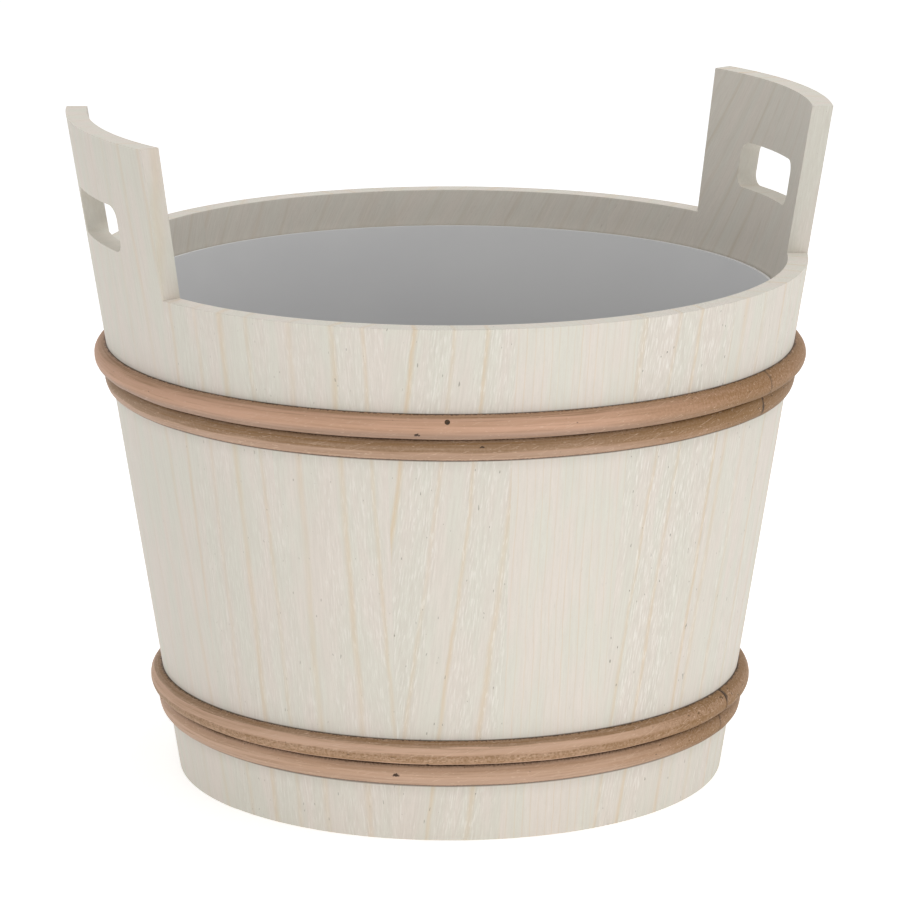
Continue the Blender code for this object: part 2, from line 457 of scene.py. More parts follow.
def aspenFinish(bench, tones, place, lineGap, coarse, lines, seed, hoopShade=0.0):
    x, y, z = place

    def layer(name):
        look = aspenLayers[name]
        across, along = look["waves"]
        return bench.noise(x * across, y * across, z * along + (seed + look["shift"]), look["detail"])

    def stray(name):
        return (layer(name) - 0.5) * aspenLayers[name]["depth"]

    def mask(name):
        return layer(name).shown(aspenLayers[name])

    radius = (x * x + y * y).root() + stray("wave") + stray("meander") + stray("ragged")
    ring, line = growthLines(bench, radius, lineGap, seed)
    line = line * mask("patchy").atLeast(growth["thinnestLine"])
    fibre = layer("fibre")
    ridged = layer("ridged")
    rough = mask("zone") * coarse
    ridges = ridged.shown(aspenLayers["ridged"]) * rough
    valleys = (1 - ridged).shown(aspenLayers["ridged"]) * rough
    pores = mask("pores") * coarse
    threads = aspenDepth["threads"] + aspenDepth["coarseThreads"] * coarse
    threads = fibre.shown(aspenLayers["fibre"]) * threads + mask("strips")
    colour = bench.mix(mask("cloud"), tones["rosy"], tones["green"])
    colour = bench.mix(threads, colour, tones["shade"])
    colour = bench.mix(ring.shown(growth["late"]) * lines, colour, tones["shade"])
    colour = bench.mix(line * growth["line"] * lines, colour, tones["line"])
    colour = bench.mix(mask("speckle"), colour, tones["shade"])
    colour = bench.mix(valleys * aspenDepth["valleys"], colour, tones["shade"])
    colour = bench.mix(ridges * aspenDepth["ridges"], colour, tones["white"])
    colour = bench.mix(pores * aspenDepth["pores"], colour, tones["pore"])
    # brighter towards the top as the tones ask, which is painted light on the inner faces of the ears
    colour = bench.mix(z.span(*aspenDepth["paintedLightFrom"]), colour, grey(tones["paintedLight"]), "MULTIPLY")
    # the hoops' painted shadow on the wall
    colour = bench.mix(hoopShade, colour, hoopShadow["tone"])
    height = fibre * aspenDepth["fibreHeight"] + ridges - valleys * aspenDepth["valleyHeight"] - pores
    return bench.finish(
        Base_Color=colour,
        Roughness=tones["roughness"] + fibre * aspenDepth["fibreRoughness"],
        Normal=bench.bump(height, aspenDepth["bump"], aspenDepth["bumpHeight"]),
    )


# painted shadow along the edges of each pair of hoops: a dark line at the cane and a soft shade under it
def shadowUnderHoops(bench):
    level = bench.objectPlace()[2]
    waves, rows = hoopShadow["raggedWaves"]
    stray = bench.noise(level * waves, level * rows, hoopShadow["raggedSeed"]) - 0.5
    ragged = level + stray * hoopShadow["ragged"]
    above, clear = hoopShadow["above"]
    below, under = hoopShadow["below"]
    hoopShade = 0
    for low, high in hoopShadow["bands"]:
        shut = 1 - ragged.span(high + above, high + clear)
        line = ragged.span(low - below, low - under) * shut * hoopShadow["line"]
        softShade = level.span(low - hoopShadow["softShadeReach"], low) * shut * hoopShadow["softShade"]
        hoopShade = hoopShade + line + softShade
    return hoopShade


def aspenOnStaves(name, tones, shadedByHoops=False):
    bench = newFinish(name)
    x, y, z = bench.attribute("grain")
    gap, coarse, seed = bench.attribute("figure")
    lines = bench.attribute("lines")[0] * tones["lines"]
    place = (x, y + z * tones["slant"], z)
    hoopShade = shadowUnderHoops(bench) if shadedByHoops else 0.0
    return aspenFinish(bench, tones, place, gap, coarse * tones["coarse"], lines, seed, hoopShade)


# staves: a slanted board section spun through its share of the circle
boardPlay = 0.0003
stave = {
    "steps": 14,
    "hairline": 0.00002,
    "grooveLow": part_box("bottom_board_1")[0][2] - boardPlay,
    "grooveHigh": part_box("bottom_board_1")[1][2] + boardPlay,
    "grooveDepth": 0.0040,
    "edge": 0.0006,
    "slotWidth": 0.0661,
    "slotHeight": 0.0245,
    "slotRise": 0.0190,
    "slotCorner": 0.0067,
    "slotSteps": 8,
    "cutterDepth": 0.06,
    "insideFacing": 0.8,
    "sawnFacing": 0.5,
    "seedStep": 3.7,
}
slotFoot = cone["rimHeight"] + stave["slotRise"]
slotTop = slotFoot + stave["slotHeight"]

# each stave's growth-line gap in metres, coarseness, line strength, pith behind and beside it in
# metres, and the pith's lean outwards and sideways in degrees
figures = {
    8: (0.018, 0.10, 0.35, 0.050, 0.130, 1.0, 0.0),
    9: (0.018, 0.10, 0.40, 0.060, -0.150, 0.5, -1.0),
    10: (0.017, 0.45, 0.80, 0.050, 0.150, 0.5, 0.5),
    11: (0.018, 0.55, 1.00, 0.060, -0.160, 0.5, -1.0),
    12: (0.019, 0.75, 1.00, 0.030, 0.170, 0.5, 6.4),
    13: (0.0042, 0.10, 0.55, 0.020, 0.190, 0.2, 0.0),
    14: (0.020, 1.00, 0.90, 0.040, -0.140, 0.5, 3.0),
    15: (0.021, 0.60, 0.75, 0.050, 0.150, 0.5, 1.0),
    16: (0.018, 0.50, 0.70, 0.060, -0.150, 1.0, 0.0),
    17: (0.018, 0.40, 0.45, 0.060, -0.150, 1.0, 1.5),
}

# the range of each on any other stave, with the pith to either side
anyFigure = {
    "gap": (0.014, 0.020),
    "coarse": (0.2, 0.8),
    "lines": (0.5, 1.0),
    "behind": (0.03, 0.08),
    "beside": (0.06, 0.18),
    "leanOut": (0.3, 1.5),
    "leanAside": (-2, 4),
}

# each stave's faces take one of these, in this order
staveFinishes = [
    # the outside wall takes the hoops' painted shadow
    aspenOnStaves("aspenStave", aspen, shadedByHoops=True),
    aspenOnStaves("aspenInside", insideAspen),
    aspenOnStaves("aspenSlot", slotShadeAspen),
]


def cutSlot(piece):
    deselectAll()
    bpy.ops.mesh.primitive_cube_add(size=1)
    cutter = startPiece("slotCutter")
    bpy.ops.transform.resize(value=(stave["cutterDepth"], stave["slotWidth"], stave["slotHeight"]))
    choose("EDGE", lambda first, second: abs(first.x - second.x) > stave["cutterDepth"] / 2)
    bpy.ops.mesh.bevel(offset=stave["slotCorner"], segments=stave["slotSteps"], affect="EDGES")
    chooseAll()
    middle = (slotFoot + slotTop) / 2
    bpy.ops.transform.translate(value=(innerRadius(middle), 0, middle))
    objectMode()
    useModifier(piece, "BOOLEAN", operation="DIFFERENCE", solver="EXACT", object=cutter)
    discard(cutter)


def makeStave(index, isEar):
    deselectAll()
    height = cone["earHeight"] if isEar else cone["rimHeight"]
    bpy.ops.mesh.primitive_plane_add(size=1, rotation=(math.pi / 2, 0, 0))
    piece = startPiece("stavePattern")
    bpy.ops.transform.resize(value=(cone["wall"], 1, height))
    bpy.ops.transform.translate(value=(cone["baseRadius"] - cone["wall"] / 2, 0, height / 2))
    choose("VERT", lambda co: co.z > height / 2)
    bpy.ops.transform.translate(value=(outerRadius(height) - cone["baseRadius"], 0, 0))
    # the groove for the bottom boards
    grooveRadius = innerRadius(stave["grooveLow"]) + stave["grooveDepth"]
    for level in (stave["grooveLow"], stave["grooveHigh"]):
        chooseAll()
        bpy.ops.mesh.bisect(plane_co=(0, 0, level), plane_no=(0, 0, 1))
    choose("FACE", lambda co: stave["grooveLow"] < co.z < stave["grooveHigh"])
    bpy.ops.mesh.bisect(plane_co=(grooveRadius, 0, 0), plane_no=(1, 0, 0))
    choose("FACE", lambda co: stave["grooveLow"] < co.z < stave["grooveHigh"] and co.x < grooveRadius)
    bpy.ops.mesh.delete(type="FACE")
    chooseAll()
    hairline = stave["hairline"] / cone["rimRadius"]
    sweep = staveTurn - hairline
    bpy.ops.mesh.spin(steps=stave["steps"], angle=sweep, center=(0, 0, 0), axis=(0, 0, 1))
    closeSolid()
    objectMode()
    # the spin may run either way round, so the piece is turned by where it lies
    lead = 0 if sum(vert.co.y for vert in piece.data.vertices) > 0 else sweep
    piece.rotation_euler = (0, 0, index * staveTurn + hairline / 2 + lead)
    applyPlace()
    if isEar:
        cutSlot(piece)
    easeEdges(piece, stave["edge"], earEased if isEar else rimEased)
    return piece


def onFoot(first, second):
    return first.z < within["level"] and second.z < within["level"]


def aboveLevel(height, first, second):
    return min(first.z, second.z) >= height - within["level"]


def rimEased(first, second):
    atEnd = onFoot(first, second) or aboveLevel(cone["rimHeight"], first, second)
    return atEnd and roundTheAxis(first, second)


def earEased(first, second):
    # on an ear everything above the rim but the seam and the flat strips of its faces
    if onFoot(first, second):
        return roundTheAxis(first, second)
    if not aboveLevel(cone["rimHeight"], first, second) or onSeam(first) and onSeam(second):
        return False
    if aboveLevel(cone["earHeight"], first, second):
        return roundTheAxis(first, second)
    if inSlot(first) and inSlot(second):
        return onFace(outerRadius, first, second) or onFace(innerRadius, first, second)
    return onEarSide(first) and onEarSide(second) and abs(first.z - second.z) > within["rise"]


def onSeam(co):
    return abs(co.y) < within["seam"]


def inSlot(co):
    return abs(co.y) < stave["slotWidth"] / 2 + within["slot"] and co.z < slotTop + within["seam"]


def onFace(radius, first, second):
    return all(abs(co.xy.length - radius(co.z)) < within["face"] for co in (first, second))


def onEarSide(co):
    return abs(abs(math.atan2(co.y, abs(co.x))) - staveTurn) < within["side"]


def drawFigure():
    figure = []
    for name, limits in anyFigure.items():
        side = random.choice((-1, 1)) if name == "beside" else 1
        figure.append(side * random.uniform(*limits))
    return figure


def dressStave(piece, index):
    gap, coarse, lines, behind, beside, leanOut, leanAside = figures.get(index) or drawFigure()
    turn = Matrix.Rotation(-(index + 0.5) * staveTurn, 3, "Z")
    lean = Matrix.Rotation(-taper - math.radians(leanOut), 3, "Y")
    lean = Matrix.Rotation(math.radians(leanAside), 3, "X") @ lean
    pith = Vector((cone["baseRadius"] - behind, beside, 0))
    grain = [lean @ (turn @ vert.co) - pith for vert in piece.data.vertices]
    spreadAttribute(piece, "grain", grain)
    spreadAttribute(piece, "figure", [(gap, coarse, index * stave["seedStep"])] * len(grain))
    spreadAttribute(piece, "lines", [(lines, 0, 0)] * len(grain))
    finishes = staveFinishes if "ear" in piece.name else staveFinishes[:2]
    for finish in finishes:
        piece.data.materials.append(finish)
    inward = turn.transposed() @ Vector((-1, 0, 0))
    for face in piece.data.polygons:
        face.material_index = faceFinish(face.center, face.normal.dot(inward))
    smooth(piece)
    useModifier(piece, "WEIGHTED_NORMAL", keep_sharp=True)


def faceFinish(center, facingIn):
    # 0 outside, 1 inside the bucket, 2 in a hand slot
    if facingIn > stave["insideFacing"]:
        return 1
    between = abs(center.y) < stave["slotWidth"] / 2 + within["level"]
    between = between and cone["rimHeight"] + within["rise"] < center.z < slotTop + within["level"]
    return 2 if between and abs(facingIn) < stave["sawnFacing"] else 0


def staveIndex(node):
    low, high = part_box(node)
    middle = math.atan2(low[1] + high[1], low[0] + high[0])
    return int(middle % math.tau / staveTurn)


# modelled once: a plain stave, and the halves of an ear after and before its seam
staveKinds = ((0, False), (0, True), (-1, True))
stavePatterns = {kind: makeStave(*kind) for kind in staveKinds}


def copyStave(node, index):
    isEar = "ear" in node
    start = -1 if isEar and (index + 1) % (cone["staves"] // 2) == 0 else 0
    turn = Matrix.Rotation((index - start) * staveTurn, 4, "Z")
    return copyPiece(stavePatterns[start, isEar], node + "_wood", turn)


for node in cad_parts:
    if "stave" in node:
        index = staveIndex(node)
        piece = copyStave(node, index)
        dressStave(piece, index)
        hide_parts(node)
        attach(piece, "bucket")
for pattern in stavePatterns.values():
    discard(pattern)
print("staves made")

# bottom boards keep their own shape: planks along X, cut from the log some way out from its pith
board = {"pith": (0.09, 0.02), "lineGap": 0.009, "coarse": 0.6, "lines": 1.0, "seed": 4.0}


def aspenOnBoards():
    bench = newFinish("aspenBoard")
    x, y, z = bench.objectPlace()
    behind, beside = board["pith"]
    place = (z + behind, y + beside, x)
    return aspenFinish(bench, aspen, place, board["lineGap"], board["coarse"], board["lines"], board["seed"])


boardWood = aspenOnBoards()
for node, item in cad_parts.items():
    if node.startswith("bottom_board"):
        item.data.materials.clear()
        item.data.materials.append(boardWood)
print("boards dressed")

# peeled split cane: pale core, brown skin left along one side, browner towards the joint; darker towards its
# lower edge and where it meets the wall and its neighbour, which is painted shade
cane = {
    "tan": tone(182, 144, 113),
    "skin": tone(144, 115, 86),
    "brown": tone(142, 110, 76),
    "old": tone(137, 101, 58),
    "light": tone(224, 196, 172),
    # painted shade towards the lower edge of the cane
    "foot": tone(142, 120, 105),
    # dark for specks, chips and the joint's crack, and painted shade where the cane meets the wall and its
    # neighbour
    "grimeAndShade": tone(58, 43, 32),
    "roughness": 0.5,
    "hairRoughness": 0.15,
    "gloss": 0.25,
    "footShows": (-0.15, 0.35),
    "edgeRagged": 0.14,
    "edgeHair": 0.30,
    "stripEdge": 0.06,
    "stripDust": 0.6,
    "skinDust": 0.75,
    "paleHair": {"shows": (0.55, 0.78), "depth": 0.14},
    "scratchSlant": 36.25,
    # how far the dust noise roughens the edges of the painted shade at the top and underneath
    "topDust": 0.12,
    "underDust": 0.06,
    "hairHeight": 0.6,
    "streakHeight": 0.4,
    "crackHeight": 0.4,
    "bump": 0.4,
    "bumpHeight": 0.0004,
    "seedStep": 5.3,
}

# noise over the cane: waves per metre along it and waves across its half face, shift of its seed
caneLayers = {
    "streak": {"waves": (9, 4), "shift": 0, "detail": 3.0, "shows": (0.42, 0.66), "depth": 0.38},
    "hair": {"waves": (26, 9), "shift": 3, "detail": 3.0, "shows": (0.50, 0.70), "depth": 0.30},
    "ragged": {"waves": (40, 3), "shift": 6, "detail": 3.0},
    "patch": {"waves": (5, 0.8), "shift": 9, "detail": 2.0, "shows": (0.44, 0.64), "depth": 0.15},
    "scratch": {"waves": (110, 24), "shift": 12, "detail": 1.0, "shows": (0.66, 0.72), "depth": 0.4},
    "specks": {"waves": (300, 6), "shift": 15, "detail": 1.0, "shows": (0.77, 0.81), "depth": 0.6},
    "dust": {"waves": (900, 7), "shift": 18, "detail": 2.0, "shows": (0.32, 0.68), "depth": 1.0},
    "crumbs": {"waves": (360, 11), "shift": 21, "detail": 1.0, "shows": (0.66, 0.74), "depth": 1.0},
    "fine": {"waves": (15, 12), "shift": 24, "detail": 2.0, "shows": (0.48, 0.68), "depth": 0.6},
    "jag": {"waves": (1500, 15), "shift": 27, "detail": 1.0},
}

# what changes towards the joint, with distances along the cane in metres; the lower face near the joint is
# darkened, which is painted shade
caneJoint = {
    "agedFrom": 0.025,
    "agedRagged": 0.05,
    "agedAfter": (0.08, 0.22),
    "nearBefore": (0.0, 0.06),
    "nearAfter": (0.08, 0.18),
    "ragged": 0.03,
    "aged": 0.50,
    "agedDust": 0.32,
    "near": 0.10,
    # painted shade on the lower face near the joint
    "nearFootShade": {"shows": (-0.2, 0.4), "depth": 0.26},
    "jointFootShade": {"shows": (0.0, 0.5), "depth": 0.22},
    "crumbs": 0.35,
    "agedCrumbs": 0.12,
    "agedSpecks": 0.06,
    "crack": (0.0003, 0.0016),
    "crackRagged": 0.004,
    "crackEnd": 0.6,
    "crackFade": 0.3,
    "crackFaint": 0.3,
}

# small chips out of the cane, as shares of their own size
chip = {"jag": 1.3, "sag": 0.7, "edge": (0.6, 1.0), "depth": 0.95}

# the hoops: height of the pair's parting line, size of the cane and degrees of its joint, then its
# looks: places across the face run from -1 to 1, and a chip has its degrees, place, half length in
# metres and half height; the foot darkens the cane towards its lower edge, and the bands at its top and
# underneath darken it where it meets its neighbour and the wall, all painted shade
hoops = {
    "upper_pair_top_hoop": {
        "height": 0.2217,
        "side": 1,
        "width": 0.0131,
        "bulge": 0.0074,
        "joint": -48,
        "core": tone(206, 165, 139),
        "skin": 0.65,
        "skinEdge": 0.16,
        "skinDepth": 0.56,
        "strip": (-0.1, 0.1, 0.0),
        "foot": 0.75,
        "shadeAtTop": {"shows": (0.86, 1.0), "depth": 0.80},
        "shadeUnderneath": {"shows": (0.55, 0.80), "depth": 0.75},
        "chips": [(-115.0, -0.19, 0.0018, 0.09)],
        "crack": (0.45, -1.2),
        "aged": 0.150,
    },
    "upper_pair_under_hoop": {
        "height": 0.2217,
        "side": -1,
        "width": 0.0119,
        "bulge": 0.0036,
        "joint": -48,
        "core": tone(194, 161, 137),
        "skin": -0.05,
        "skinEdge": 0.05,
        "skinDepth": 0.86,
        "strip": (0.27, 0.54, 0.5),
        "foot": 0.3,
        "shadeAtTop": {"shows": (0.62, 0.92), "depth": 0.77},
        "shadeUnderneath": {"shows": (0.50, 0.68), "depth": 0.85},
        "chips": [(-105.0, 0.30, 0.0011, 0.06)],
        "crack": (0.90, -0.5),
        "aged": 0.150,
    },
    "lower_pair_top_hoop": {
        "height": 0.0440,
        "side": 1,
        "width": 0.0127,
        "bulge": 0.0073,
        "joint": -44,
        "core": tone(210, 175, 150),
        "skin": 0.57,
        "skinEdge": 0.05,
        "skinDepth": 0.78,
        "strip": (-0.47, 0.12, 0.78),
        "foot": 0.0,
        "shadeAtTop": {"shows": (0.86, 1.0), "depth": 0.80},
        "shadeUnderneath": {"shows": (0.55, 0.70), "depth": 0.90},
        "chips": [(-114.2, -0.55, 0.0010, 0.10)],
        "crack": (0.85, 0.1),
        "aged": 0.118,
    },
    "lower_pair_under_hoop": {
        "height": 0.0440,
        "side": -1,
        "width": 0.0124,
        "bulge": 0.0048,
        "joint": -44,
        "core": tone(202, 168, 143),
        "skin": 0.80,
        "skinEdge": 0.10,
        "skinDepth": 1.0,
        "strip": (0.14, 1.2, 0.12),
        "foot": 0.3,
        "shadeAtTop": {"shows": (0.56, 0.90), "depth": 0.90},
        "shadeUnderneath": {"shows": (0.46, 0.66), "depth": 0.80},
        "chips": [(-120.15, 0.11, 0.0019, 0.10)],
        "crack": (0.45, 0.2),
        "aged": 0.105,
    },
}


# one cane's face: where a point lies on it, the noise over it and how near the joint is
class CaneFace:
    def __init__(self, bench, hoop, seed):
        self.bench = bench
        self.hoop = hoop
        self.seed = seed
        self.reach = outerRadius(hoop["height"]) + hoop["bulge"]
        self.along, self.across = bench.attribute("cane")[:2]
        self.before = math.tau * self.reach - self.along
        self.down = 0 - self.across
        self.streak = self.layer("streak")
        self.hair = self.layer("hair")
        self.ragged = self.layer("ragged") - 0.5
        self.dust = self.mask("dust")
        ahead = self.before + self.ragged * caneJoint["ragged"]
        after = self.along + self.ragged * caneJoint["ragged"]
        farAhead = self.before + self.ragged * caneJoint["agedRagged"]
        self.aged = 1 - farAhead.span(caneJoint["agedFrom"], hoop["aged"])
        self.aged = self.aged + (1 - after.span(*caneJoint["agedAfter"]))
        self.near = 1 - ahead.span(*caneJoint["nearBefore"])
        self.near = self.near + (1 - after.span(*caneJoint["nearAfter"]))

    def layer(self, name, across=None):
        look = caneLayers[name]
        waves, rows = look["waves"]
        place = (self.along * waves, (across or self.across) * rows, self.seed + look["shift"])
        return self.bench.noise(*place, look["detail"])

    def mask(self, name, across=None):
        return self.layer(name, across).shown(caneLayers[name])


def peeledCane(face):
    # the core and its streaks, a brown strip along the cane, then the skin above it
    hoop = face.hoop
    mix = face.bench.mix
    colour = mix(face.streak.shown(caneLayers["streak"]), hoop["core"], cane["tan"])
    colour = mix(face.mask("patch"), colour, cane["brown"])
    # painted shade towards the lower edge
    colour = mix(face.down.span(*cane["footShows"]) * hoop["foot"], colour, cane["foot"])
    edge = face.across + face.ragged * cane["edgeRagged"] + (face.hair - 0.5) * cane["edgeHair"]
    low, high, strength = hoop["strip"]
    soft = cane["stripEdge"]
    strip = edge.span(low - soft, low + soft) * (1 - edge.span(high - soft, high + soft)) * strength
    colour = mix(strip * (1 + face.dust) * cane["stripDust"], colour, cane["brown"])
    skin = edge.span(hoop["skin"] - hoop["skinEdge"], hoop["skin"] + hoop["skinEdge"])
    colour = mix(skin * face.dust.atLeast(cane["skinDust"]) * hoop["skinDepth"], colour, cane["skin"])
    colour = mix(face.mask("fine") * skin, colour, cane["old"])
    colour = mix(face.hair.shown(caneLayers["hair"]), colour, cane["brown"])
    return mix((1 - face.hair).shown(cane["paleHair"]), colour, cane["light"])


def agedCane(face, colour):
    # browner and dustier towards the joint, with painted shade on the lower face near it, then light
    # scratches and crumbs
    brownedAndShaded = face.aged * (caneJoint["aged"] + caneJoint["agedDust"] * face.dust)
    brownedAndShaded = brownedAndShaded + face.near * (caneJoint["near"] + face.down.shown(caneJoint["nearFootShade"]))
    colour = face.bench.mix(brownedAndShaded, colour, cane["old"])
    scratch = face.mask("scratch", face.across - face.along * cane["scratchSlant"])
    crumbs = face.mask("crumbs") * (caneJoint["crumbs"] + caneJoint["agedCrumbs"] * face.aged)
    return face.bench.mix(scratch + crumbs, colour, cane["light"])


def jointCrack(face):
    depth, lowest = face.hoop["crack"]
    faint = caneJoint["crackFaint"]
    end = face.across + face.ragged * caneJoint["crackEnd"]
    deep = end.span(lowest, lowest + caneJoint["crackFade"])
    split = face.along.atMost(face.before) + face.ragged * caneJoint["crackRagged"]
    return (1 - split.span(*caneJoint["crack"])) * (faint + deep * (depth - faint))


def chipsInCane(face):
    jag = (face.layer("jag") - 0.5) * chip["jag"]
    chips = 0
    for degrees, place, halfLength, halfHeight in face.hoop["chips"]:
        start = math.radians((degrees - face.hoop["joint"]) % 360) * face.reach
        far = (face.along - start) / halfLength + jag
        off = (face.across - place) / halfHeight + far * far * chip["sag"] + jag
        chips = chips + (1 - (far * far + off * off).span(*chip["edge"]))
    return chips


def unshadedCleanCane(face):
    # 1 where there are no specks, no painted shade where it meets its neighbour and the wall, and none on
    # the lower face by the joint
    stray = face.dust - 0.5
    shut = (face.across + stray * cane["topDust"]).shown(face.hoop["shadeAtTop"])
    under = (face.down - stray * cane["underDust"]).shown(face.hoop["shadeUnderneath"])
    jointFootShade = face.near * face.down.shown(caneJoint["jointFootShade"])
    specks = (face.layer("specks") + face.aged * caneJoint["agedSpecks"]).shown(caneLayers["specks"])
    return (1 - shut) * (1 - under) * (1 - jointFootShade) * (1 - specks)


def caneFinish(name, hoop, seed):
    bench = newFinish(name)
    face = CaneFace(bench, hoop, seed)
    colour = agedCane(face, peeledCane(face))
    crack = jointCrack(face)
    chips = chipsInCane(face)
    cleanAndUnshaded = unshadedCleanCane(face) * (1 - crack) * (1 - chips * chip["depth"])
    height = face.hair * cane["hairHeight"] + face.streak * cane["streakHeight"]
    height = height - crack * cane["crackHeight"] - chips
    # the dark mix carries the specks, chips and crack, and the painted shade
    return bench.finish(
        Base_Color=bench.mix(1 - cleanAndUnshaded, colour, cane["grimeAndShade"]),
        Roughness=cane["roughness"] + face.hair * cane["hairRoughness"],
        Specular_IOR_Level=cane["gloss"],
        Normal=bench.bump(height, cane["bump"], cane["bumpHeight"]),
    )


# a flat-backed cane section spun round the wall, its ends lapped
hoopMake = {
    "sectionSides": 32,
    "steps": 240,
    "seat": 0.0002,
    "lapGap": 0.00015,
    "lapTurn": 28,
    "wobble": 0.0007,
    "wobbleSize": 0.035,
    "wobbleFrom": 0.0008,
    "sharp": 40,
}


def makeHoop(name, hoop):
    deselectAll()
    half = hoop["width"] / 2
    seat = hoopMake["seat"]
    foot = (outerRadius(hoop["height"]), 0, hoop["height"])
    bpy.ops.mesh.primitive_circle_add(
        vertices=hoopMake["sectionSides"], radius=1, fill_type="NGON", rotation=(math.pi / 2, 0, 0)
    )
    piece = startPiece(name + "_cane")
    bpy.ops.transform.resize(value=(hoop["bulge"] - seat, 1, half))
    bpy.ops.mesh.bisect(plane_co=(0, 0, 0), plane_no=(1, 0, 0), clear_inner=True)
    chooseAll()
    bpy.ops.transform.translate(value=(seat, 0, hoop["side"] * (half + seat / 2)))
    objectMode()
    piece.rotation_euler = (0, taper, 0)
    piece.location = foot
    applyPlace()
    editMode()
    chooseAll()
    gap = hoopMake["lapGap"] / foot[0]
    bpy.ops.mesh.spin(steps=hoopMake["steps"], angle=math.tau - gap, center=(0, 0, 0), axis=(0, 0, 1))
    closeSolid()
    objectMode()
    spreadAttribute(piece, "cane", [canePlace(vert.co, hoop, gap) for vert in piece.data.vertices])
    editMode()
    # both ends slant alike into a lap, flush with the rest of the cane
    choose("VERT", lambda co: abs(math.atan2(co.y, co.x)) < 2 * gap)
    lap = math.radians(hoopMake["lapTurn"])
    bpy.ops.transform.rotate(value=lap, orient_axis="Z", center_override=foot)
    bpy.ops.transform.resize(value=(1 / math.cos(lap), 1, 1), center_override=foot)
    # uneven, but not where it sits on the wall
    choose("VERT", lambda co: wallFrame(co, hoop)[1] > hoopMake["wobbleFrom"])
    bpy.ops.object.vertex_group_add()
    bpy.ops.object.vertex_group_assign()
    objectMode()
    uneven = bpy.data.textures.new(name + "_uneven", "CLOUDS")
    uneven.noise_scale = hoopMake["wobbleSize"]
    useModifier(
        piece,
        "DISPLACE",
        texture=uneven,
        texture_coords="LOCAL",
        strength=hoopMake["wobble"],
        mid_level=0.5,
        vertex_group=piece.vertex_groups[0].name,
    )
    piece.rotation_euler = (0, 0, math.radians(hoop["joint"]))
    applyPlace()
    return piece


def wallFrame(place, hoop):
    # how far a point lies up the slanting wall from the parting line, and out from the wall
    outward = place.xy.length - outerRadius(hoop["height"])
    upward = place.z - hoop["height"]
    up = outward * math.sin(taper) + upward * math.cos(taper)
    return up, outward * math.cos(taper) - upward * math.sin(taper)


def canePlace(place, hoop, gap):
    # metres along the cane from its joint, and -1 to 1 across its face
    half = hoop["width"] / 2
    up, out = wallFrame(place, hoop)
    # the spin ends just past where it starts
    turn = (math.atan2(place.y, place.x) - gap / 2) % math.tau
    across = math.atan2((up - hoop["side"] * half) / half, max(out, 0) / hoop["bulge"]) / (math.pi / 2)
    return turn * (outerRadius(hoop["height"]) + hoop["bulge"]), across, 0


for number, (node, hoop) in enumerate(hoops.items()):
    piece = makeHoop(node, hoop)
    piece.data.materials.append(caneFinish(node + "Finish", hoop, number * cane["seedStep"]))
    smooth(piece, hoopMake["sharp"])
    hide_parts(node)
    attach(piece, "bucket")
print("hoops made")

# moulded grey plastic with a fine even grain, darker towards the bottom, which is painted shade
plastic = {
    "grey": tone(220, 220, 220),
    "cool": tone(215, 215, 216),
    # painted shade towards the bottom of the tub
    "deep": tone(180, 180, 180),
    "deepShadeTo": (0.13, 0.27),
    "cloudWaves": 12,
    "cloudDetail": 2.0,
    "cloudShows": (0.3, 0.7),
    "grainWaves": 1800,
    "grainDetail": 1.0,
    "roughness": 0.42,
    "cloudRoughness": 0.08,
    "bump": 0.08,
    "bumpHeight": 0.0002,
}


def plasticFinish():
    bench = newFinish("greyPlastic")
    place = bench.objectPlace()
    cloud = bench.noise(*(axis * plastic["cloudWaves"] for axis in place), plastic["cloudDetail"])
    grain = bench.noise(*(axis * plastic["grainWaves"] for axis in place), plastic["grainDetail"])
    colour = bench.mix(cloud.span(*plastic["cloudShows"]), plastic["grey"], plastic["cool"])
    return bench.finish(
        Base_Color=bench.mix(place[2].span(*plastic["deepShadeTo"]), plastic["deep"], colour),
        Roughness=plastic["roughness"] + cloud * plastic["cloudRoughness"],
        Normal=bench.bump(grain, plastic["bump"], plastic["bumpHeight"]),
    )


# liner: a tapered tub with a rounded foot and a thin even wall
liner = {
    "wall": 0.0022,
    "clearance": 0.0012,
    "floor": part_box("liner")[0][2],
    "rim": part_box("liner")[1][2],
    "fillet": 0.0120,
    "filletSteps": 8,
    "floorRings": (0.05, 0.04),
    "edge": 0.0005,
    "sides": 160,
}


def makeLiner():
    deselectAll()
    low = liner["floor"]
    high = liner["rim"]
    bpy.ops.mesh.primitive_cone_add(
        vertices=liner["sides"],
        radius1=innerRadius(low) - liner["clearance"],
        radius2=innerRadius(high) - liner["clearance"],
        depth=high - low,
        end_fill_type="NGON",
        location=(0, 0, (low + high) / 2),
    )
    piece = startPiece("liner_tub")
    choose("FACE", lambda co: co.z > high - within["level"])
    bpy.ops.mesh.delete(type="FACE")
    choose("EDGE", lambda first, second: max(first.z, second.z) < low + within["level"])
    bpy.ops.mesh.bevel(offset=liner["fillet"], segments=liner["filletSteps"], affect="EDGES")
    choose("FACE", lambda co: co.z < low + within["level"])
    for width in liner["floorRings"]:
        bpy.ops.mesh.inset(thickness=width)
    objectMode()
    useModifier(piece, "SOLIDIFY", thickness=liner["wall"], offset=-1, use_even_offset=True)
    easeEdges(piece, liner["edge"], linerEased)
    return piece


def linerEased(first, second):
    # the two edges of the rim
    atRim = min(first.z, second.z) > liner["rim"] - within["rise"]
    return atRim and roundTheAxis(first, second)


tub = makeLiner()
tub.data.materials.append(plasticFinish())
smooth(tub)
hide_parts("liner")
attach(tub, "liner")
print("liner made")

